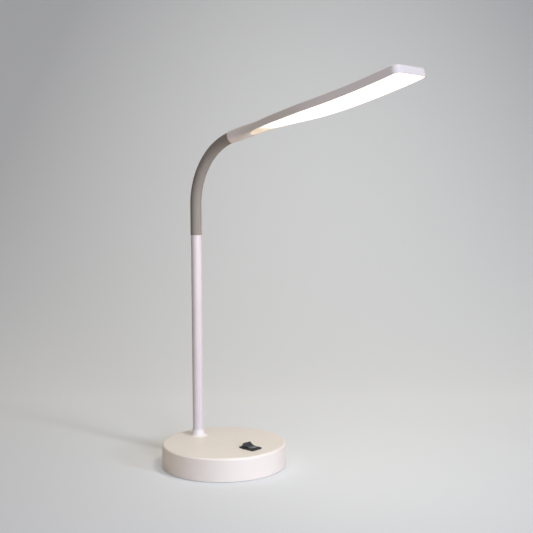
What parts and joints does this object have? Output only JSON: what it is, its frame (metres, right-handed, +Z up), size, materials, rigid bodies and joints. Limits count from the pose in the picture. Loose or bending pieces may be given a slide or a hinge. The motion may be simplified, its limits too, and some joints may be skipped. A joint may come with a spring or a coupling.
{
  "type": "gooseneck desk lamp",
  "caption": "Desk lamp with a weighted round base, rocker switch, steel stem, bendable gooseneck and a slim curved head with a light panel underneath.",
  "frame": {"origin": "centre of the round base, on the underside of its foam pad, which is the table's level", "axes": "+Z up; +X from the stem towards the switch and the head's tip; +Y to the left of someone who looks along +X; the lamp is symmetric about the XZ plane apart from what is inside the base"},
  "size_m": [0.3247, 0.14, 0.4243],
  "materials": {
    "ballast": "bare grey casting",
    "board": "green solder mask",
    "brass": "plain brass",
    "contact": "tin-plated contact metal",
    "core": "spring steel",
    "cover": "off-white moulded ABS with a satin shine",
    "ferrule": "turned steel",
    "foam": "dark EVA foam",
    "grey_wire": "grey PVC insulation",
    "head": "white moulded ABS, satin",
    "lead": "white PVC insulation",
    "led": "yellow phosphor",
    "led_board": "white solder mask on aluminium",
    "opal": "opal acrylic, lit from behind",
    "parts": "black electronic components",
    "plate": "off-white moulded ABS, matt",
    "red_wire": "red and black PVC insulation",
    "rocker": "black nylon, polished",
    "sleeve": "warm grey silicone, matt",
    "stem": "white powder coat on steel",
    "switch": "black nylon",
    "zinc": "zinc-plated steel"
  },
  "bodies": {
    "base": {"base_cover": "cover", "base_plate": "plate", "foam_pad": "foam", "ballast": "ballast", "ballast_screws": "zinc", "plate_screws": "zinc", "stem_tube": "stem", "stem_nipple": "brass", "stem_washer": "zinc", "stem_nut": "brass", "switch_housing": "switch", "switch_terminals": "contact", "power_inlet": "parts", "inlet_pin": "contact", "driver_board": "board", "driver_parts": "parts", "driver_screws": "zinc", "inlet_leads": "red_wire", "switch_leads": "grey_wire", "ferrule_base": "ferrule", "neck_sleeve_0": "sleeve", "lamp_lead_0": "lead"},
    "rocker": {"rocker": "rocker"},
    "neck_1": {"neck_core_1": "core", "neck_sleeve_1": "sleeve", "lamp_lead_1": "lead"},
    "neck_2": {"neck_core_2": "core", "neck_sleeve_2": "sleeve", "lamp_lead_2": "lead"},
    "neck_3": {"neck_core_3": "core", "neck_sleeve_3": "sleeve", "lamp_lead_3": "lead"},
    "neck_4": {"neck_core_4": "core", "neck_sleeve_4": "sleeve", "lamp_lead_4": "lead"},
    "neck_5": {"neck_core_5": "core", "neck_sleeve_5": "sleeve", "lamp_lead_5": "lead"},
    "neck_6": {"neck_core_6": "core", "neck_sleeve_6": "sleeve", "lamp_lead_6": "lead"},
    "neck_7": {"neck_core_7": "core", "neck_sleeve_7": "sleeve", "lamp_lead_7": "lead"},
    "head": {"ferrule_head": "ferrule", "neck_sleeve_8": "sleeve", "lamp_lead_8": "lead", "head_shell": "head", "light_panel": "opal", "light_board": "led_board", "lights": "led"}
  },
  "joints": [
    {"name": "rocker_tilt", "type": "hinge", "parent": "base", "child": "rocker", "pos_m": [0.042, 0, 0.0255], "axis": [0, 1, 0], "range_deg": [-28, 0]},
    {"name": "bend_1", "type": "hinge", "parent": "base", "child": "neck_1", "pos_m": [-0.043, 0, 0.2785], "axis": [0, 1, 0], "range_deg": [-19, 18]},
    {"name": "sway_1", "type": "hinge", "parent": "neck_1", "child": "neck_2", "pos_m": [-0.043, 0, 0.294], "axis": [1, 0, 0], "range_deg": [-18, 18]},
    {"name": "bend_2", "type": "hinge", "parent": "neck_2", "child": "neck_3", "pos_m": [-0.04144, 0, 0.3094], "axis": [0, 1, 0], "range_deg": [-19, 18]},
    {"name": "sway_2", "type": "hinge", "parent": "neck_3", "child": "neck_4", "pos_m": [-0.03684, 0, 0.32418], "axis": [0.92, 0, -0.392], "range_deg": [-18, 18]},
    {"name": "bend_3", "type": "hinge", "parent": "neck_4", "child": "neck_5", "pos_m": [-0.02937, 0, 0.33774], "axis": [0, 1, 0], "range_deg": [-19, 18]},
    {"name": "sway_3", "type": "hinge", "parent": "neck_5", "child": "neck_6", "pos_m": [-0.01934, 0, 0.34953], "axis": [0.6927, 0, -0.7212], "range_deg": [-18, 18]},
    {"name": "bend_4", "type": "hinge", "parent": "neck_6", "child": "neck_7", "pos_m": [-0.00716, 0, 0.35908], "axis": [0, 1, 0], "range_deg": [-19, 18]},
    {"name": "sway_4", "type": "hinge", "parent": "neck_7", "child": "head", "pos_m": [0.00669, 0, 0.366], "axis": [0.3546, 0, -0.935], "range_deg": [-18, 18]}
  ],
  "couplings": [
    {"joint": "bend_2", "follows": "bend_1", "ratio": 1},
    {"joint": "sway_2", "follows": "sway_1", "ratio": 1},
    {"joint": "bend_4", "follows": "bend_3", "ratio": 1},
    {"joint": "sway_4", "follows": "sway_3", "ratio": 1}
  ]
}
